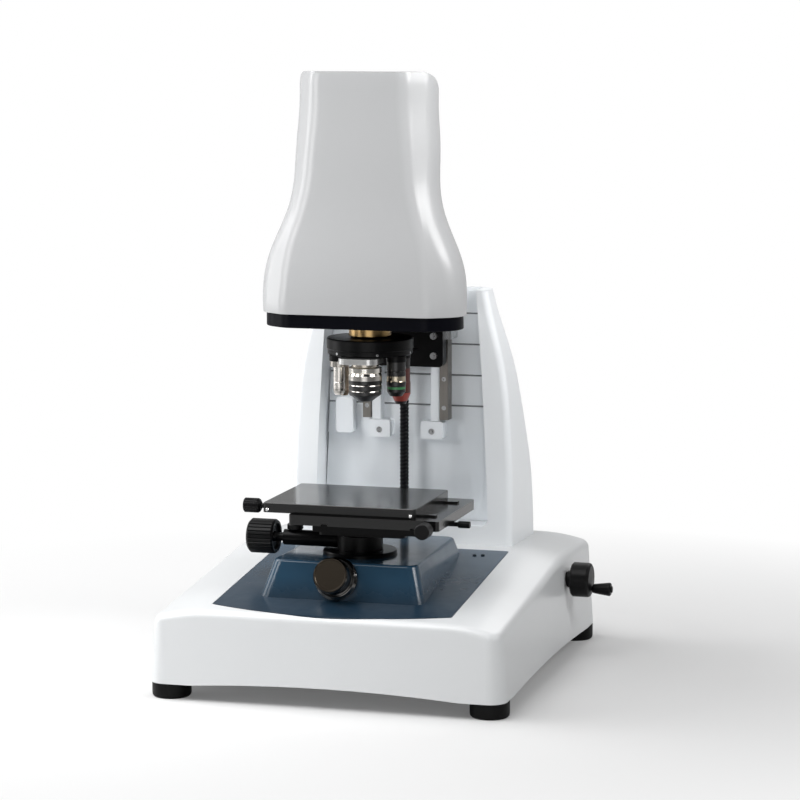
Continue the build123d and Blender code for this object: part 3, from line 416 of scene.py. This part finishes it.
nodeFinish = {
    "base_cover": baseWhitePaintedShade,
    "column_cover": uprightWhitePaintedLight,
    "head_cover": headWhitePaintedShade,
    "channel_cover": plateWhitePaintedLightSeamShade,
    "rail_bars": channelWhitePaintedLight,
    "rail_stops": channelWhitePaintedLight,
    "limit_switch_cover": channelWhitePaintedLight,
    "plinth_panel": navy,
    "head_base_plate": bandDark,
    "base_casting": castGrey,
    "column_casting": castGrey,
    "guide_rails": railSteel,
    "rail_screws": steel,
    "carriage_screws": steel,
    "lead_screw": screwBlack,
    "drive_shaft": steel,
    "screw_gear": steel,
    "shaft_gear": steel,
    "screw_bearing_lower": brassRingPaintedShade,
    "screw_bearing_upper": anodised,
    "shaft_collar": anodised,
    "handwheel": plasticBlack,
    "crank_knob": plasticBlack,
    "feet": rubber,
    "panel_screws": screwBlack,
    "rear_inlet": plasticBlack,
    "carriage": anodised,
    "carriage_shoes": steel,
    "lift_nut": anodised,
    "head_arm": anodised,
    "splitter_housing": anodised,
    "beam_splitter": glass,
    "light_source": anodised,
    "fold_mirror_block": anodised,
    "tube_barrel": anodised,
    "tube_lens": glass,
    "camera": alloy,
    "turret_ring": brassRingPaintedShade,
    "turret_body": anodised,
    "adapter_plate": alloy,
    "stage_post": anodised,
    "stage_base_plate": anodised,
    "gimbal_cross": steel,
    "tilt_plate": anodised,
    "stage_y_plate": stageBlack,
    "stage_top_plate": stageBlack,
    "stage_pins": chrome,
    "x_knob": plasticBlack,
    "y_knob": plasticBlack,
    "tip_knob": anodised,
    "tilt_housing": anodised,
    "tilt_knob": plasticBlack,
    "tilt_lock_screw": plasticBlack,
    "front_knob": knobBronze(),
    "front_knob_ring": chromePaintedDarkReflection,
    **objectiveFinishes,
}
for name, node in nodes.items():
    node.data.materials.clear()
    node.data.materials.append(nodeFinish[name])
print("stage: nodes dressed", len(nodes))


sharpAngle = radians(34)  # edges that turn by more stay crisp


# New pieces are grids of points: rows along the shape, columns round it anticlockwise about its axis
def gridFaces(rows, columns, first):
    # each cell joins four neighbours, the last column meets the first, each end row closes as one face
    index = first + np.arange(rows * columns).reshape(rows, columns)
    beside = np.roll(index, -1, axis=1)
    cells = np.stack([index[:-1], beside[:-1], beside[1:], index[1:]], axis=-1).reshape(-1, 4)
    return cells.tolist() + [index[0, ::-1].tolist(), index[-1].tolist()]


def addPiece(name, grids, finish, body, replaced=()):
    points, faces = np.zeros((0, 3)), []
    for grid in grids:
        faces += gridFaces(grid.shape[0], grid.shape[1], len(points))
        points = np.vstack([points, grid.reshape(-1, 3)])
    mesh = bpy.data.meshes.new(name)
    mesh.from_pydata(points.tolist(), [], faces)
    mesh.materials.append(finish)
    mesh.shade_smooth()
    mesh.set_sharp_from_angle(angle=sharpAngle)
    piece = bpy.data.objects.new(name, mesh)
    bpy.context.scene.collection.objects.link(piece)
    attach(piece, body)
    if replaced:
        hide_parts(*replaced)


def spun(profile, centre, across, up, along, columns=48):
    # a (radius, distance) profile turned about the line through centre that runs along
    radius, distance = np.array(profile, float).T[:, :, None]
    angle = np.linspace(0, 2 * pi, columns, endpoint=False)[None, :]
    parts = (radius * np.cos(angle), across), (radius * np.sin(angle), up), (distance + 0 * angle, along)
    return np.array(centre) + sum(amount[..., None] * np.array(way, float) for amount, way in parts)


# The lead screw: its ends, the stretch that carries thread, and the thread's own radii and lead
thread = {
    "low": 0.116,
    "high": 0.4756,
    "plainTo": 0.148,
    "plainFrom": 0.456,
    "runOut": 0.004,
    "chamfer": 0.0006,
    "crest": 0.006,
    "root": 0.0053,
    "lead": 0.010,
    "starts": 2,
    "y": 0.106,
}


def threadedRod(look, columns=28, step=0.0006):
    # the place in the thread is the starts times the height over the lead less the share of a turn
    low, high, chamfer = look["low"], look["high"], look["chamfer"]
    height = np.linspace(low, high, int((high - low) / step))[:, None]
    angle = np.linspace(0, 2 * pi, columns, endpoint=False)[None, :]
    turn = look["starts"] * (height / look["lead"] - angle / (2 * pi))
    groove = np.clip(2.2 * np.abs(2 * (turn % 1) - 1) - 0.6, 0, 1)  # flat crest, flat root, straight flanks
    plain = np.clip((look["plainTo"] - height) / look["runOut"], 0, 1)
    plain = plain + np.clip((height - look["plainFrom"]) / look["runOut"], 0, 1)
    cut = np.clip((low + chamfer - height) / chamfer, 0, 1)
    cut = cut + np.clip((height - high + chamfer) / chamfer, 0, 1)
    radius = look["crest"] - (look["crest"] - look["root"]) * groove * (1 - plain) - cut * chamfer
    across, up = radius * np.cos(angle), look["y"] + radius * np.sin(angle)
    return np.stack([across, up, height + 0 * angle], axis=-1)


addPiece("leadScrewThread", [threadedRod(thread)], screwBlack, "lift_screw", ["lead_screw"])

# Turret: each objective's front lens, set back in its nose, and the set screws round the drum's rim
turret = {
    "centre": (0, -0.053),
    "ring": 0.042,
    "firstAngle": 8,
    "ports": 6,
    "rim": 0.0540,
    "screws": 6,
    "firstScrew": 26,
    "screwHeight": 0.4175,
}
lens = {"setBack": 0.0005, "rise": 0.0005, "back": 0.0012, "hole": 0.04}
noses = {  # by port: the lens's radius and the height of the nose's tip; port 3 is empty
    0: (0.0073, 0.3594),
    1: (0.0053, 0.3636),
    2: (0.0043, 0.3480),
    4: (0.0030, 0.3577),
    5: (0.0036, 0.3640),
}


def portPlace(port):
    # a port lies on the ring by the sine of its angle to the right and the cosine towards the front
    angle = radians(turret["firstAngle"] + 360 / turret["ports"] * port)
    x, y = turret["centre"]
    return x + turret["ring"] * sin(angle), y - turret["ring"] * cos(angle)


def lensDome(port, radius, tip):
    # the dome rises into the nose with the square of the distance from its middle
    share = np.linspace(lens["hole"], 1, 9)
    dome = [(radius * r, lens["setBack"] + lens["rise"] * r * r) for r in share]
    dome += [(radius, lens["back"]), (radius * lens["hole"], lens["back"])]
    return spun(dome, (*portPlace(port), tip), (1, 0, 0), (0, 1, 0), (0, 0, 1))


def rimScrew(degrees):
    # a small round head with a socket, lying along the drum's own radius
    outward = np.array([sin(radians(degrees)), -cos(radians(degrees)), 0])
    middle = np.array([*turret["centre"], turret["screwHeight"]]) + turret["rim"] * outward
    head = [(0.1, -2), (1.6, -2), (1.6, 0.1), (1.4, 0.4), (0.8, 0.4), (0.7, -0.1), (0.1, -0.2)]
    return spun(np.array(head) * mm, middle, (-outward[1], outward[0], 0), (0, 0, 1), outward, 20)


lenses = [lensDome(port, *nose) for port, nose in noses.items()]
addPiece("objectiveLenses", lenses, glass, "turret")
screwStep = 360 / turret["screws"]
screws = [rimScrew(turret["firstScrew"] + screwStep * k) for k in range(turret["screws"])]
addPiece("turretSetScrews", screws, steel, "turret")
print("stage: new pieces")

# The room: a wide pale floor that keeps the shadow, white further out, and soft lamps
floorLook = {
    "colour": (0.74, 0.74, 0.74, 1),
    "glow": 0.12,
    "middle": 0.05,
    "whiteFrom": 0.42,
    "whiteTo": 1.05,
    "mirrorFrom": -0.7,
    "mirrorTo": 0.9,
    "reach": 14.0,
}


def seenBy(sheet, mirrorShare):
    # 1 for what the camera sees, or sees through glass, and a share of it for what mirrors see
    kinds = ("Is Camera Ray", "Is Transmission Ray", "Is Glossy Ray")
    rays = [sheet.node("ShaderNodeLightPath", out=kind) for kind in kinds]
    return rays[0] + rays[1] + rays[2] * mirrorShare


def layFloor():
    # the floor whitens with the distance from the object's middle, for mirrors with the distance to the rear
    look = floorLook
    constants = {"Base Color": look["colour"], "Roughness": 0.9, "Specular IOR Level": 0.1}
    finish = Finish("floorPale", constants)
    x, y = finish.place()[:2]
    far = radiusFrom(x - look["middle"], y - look["middle"]).fade(look["whiteFrom"], look["whiteTo"])
    mirrored = y.fade(look["mirrorFrom"], look["mirrorTo"]) * studio["mirrorShare"]
    share = seenBy(finish, mirrored) * (look["glow"] + far * (1 - look["glow"]))
    glow = finish.node("ShaderNodeEmission", {}, {"Color": (1, 1, 1, 1), "Strength": 1.0})
    body = Value(finish, finish.shader.outputs[0])
    mixed = finish.node("ShaderNodeMixShader", {}, {0: share, 1: body, 2: glow})
    finish.tree.links.new(mixed.socket, finish.tree.nodes["Material Output"].inputs["Surface"])
    corners = [(x * look["reach"], y * look["reach"], 0) for x, y in ((-1, -1), (1, -1), (1, 1), (-1, 1))]
    mesh = bpy.data.meshes.new("floor")
    mesh.from_pydata(corners, [], [(0, 1, 2, 3)])
    mesh.materials.append(finish.material)
    floor = bpy.data.objects.new("floor", mesh)
    bpy.context.scene.collection.objects.link(floor)


def fillRoom():
    # mirrors see the white wall behind the object, and a dark room behind the camera
    world = bpy.data.worlds.new("whiteRoom")
    world.use_nodes = True
    bpy.context.scene.world = world
    sky = NodeSheet(world.node_tree)
    dim = sky.tree.nodes["Background"]
    dim.inputs["Color"].default_value = studio["roomColour"]
    dim.inputs["Strength"].default_value = studio["roomLevel"]
    bright = sky.node("ShaderNodeBackground", {}, {"Color": (1, 1, 1, 1), "Strength": 1.0})
    rearward = sky.node("ShaderNodeSeparateXYZ", {}, {0: sky.node("ShaderNodeTexCoord", out=0)}, out=1)
    mirrored = rearward.fade(studio["wallFrom"], studio["wallTo"]) * studio["mirrorShare"]
    share = seenBy(sky, mirrored)
    mixed = sky.node("ShaderNodeMixShader", {}, {0: share, 1: Value(sky, dim.outputs[0]), 2: bright})
    sky.tree.links.new(mixed.socket, sky.tree.nodes["World Output"].inputs["Surface"])


lamps = {
    "topLeft": {"at": (-1.9, 0.1, 2.1), "aim": (0, 0, 0.3), "size": (1.6, 1.6), "watts": 35},
    "sideLeft": {"at": (-2.6, -0.2, 0.9), "aim": (0, 0, 0.4), "size": (1.2, 1.6), "watts": 20},
    "frontFill": {"at": (1.5, -3.2, 1.5), "aim": (0, 0, 0.35), "size": (1.0, 1.0), "watts": 5},
    "frontLow": {"at": (0.5, -3.0, 0.35), "aim": (0, 0, 0.10), "size": (1.8, 0.5), "watts": 8},
    "nearLeft": {"at": (-0.50, -0.56, 0.66), "aim": (0, -0.1, 0.5), "size": (0.25, 0.5), "watts": 2.1},
    "rightHigh": {
        "at": (1.3, -0.35, 1.30),
        "aim": (0.2, 0, 1.15),
        "size": (0.8, 0.8),
        "watts": 9,
        "spread": 100,
    },
    "topFront": {"at": (-0.5, -1.3, 2.6), "aim": (0, -0.1, 0.1), "size": (1.6, 1.6), "watts": 31},
    "topSoft": {"at": (0, 0.2, 2.6), "aim": (0, 0, 0.2), "size": (2.4, 2.4), "watts": 10},
    "rearTop": {"at": (0.3, 2.2, 1.9), "aim": (0, 0, 0.3), "size": (1.6, 1.2), "watts": 10},
}


def addLamp(name, lamp):
    # the lamp leans by the angle of its flat distance over its drop, and turns to face its aim
    data = bpy.data.lights.new(name, "AREA")
    data.shape = "RECTANGLE"
    data.size, data.size_y = lamp["size"]
    data.energy = lamp["watts"] * studio["lampLevel"]
    data.spread = radians(lamp.get("spread", 180))
    light = bpy.data.objects.new(name, data)
    light.visible_camera = False
    light.location = lamp["at"]
    away = np.array(lamp["at"]) - np.array(lamp["aim"])
    flat = np.hypot(away[0], away[1])
    light.rotation_euler = (np.arctan2(flat, away[2]), 0, np.arctan2(away[1], away[0]) + pi / 2)
    bpy.context.scene.collection.objects.link(light)


layFloor()
fillRoom()
for name, lamp in lamps.items():
    addLamp(name, lamp)

eye = bpy.data.cameras.new("camera")
eye.lens = studio["lens"]
eye.sensor_width = 36
eye.clip_end = 60
eyeObject = bpy.data.objects.new("camera_view", eye)
eyeObject.location = studio["eye"]
eyeObject.rotation_euler = (radians(studio["tilt"]), 0, radians(studio["turn"]))
bpy.context.scene.collection.objects.link(eyeObject)
bpy.context.scene.camera = eyeObject
bpy.context.scene.view_settings.view_transform = "Standard"
print("stage: room and camera")
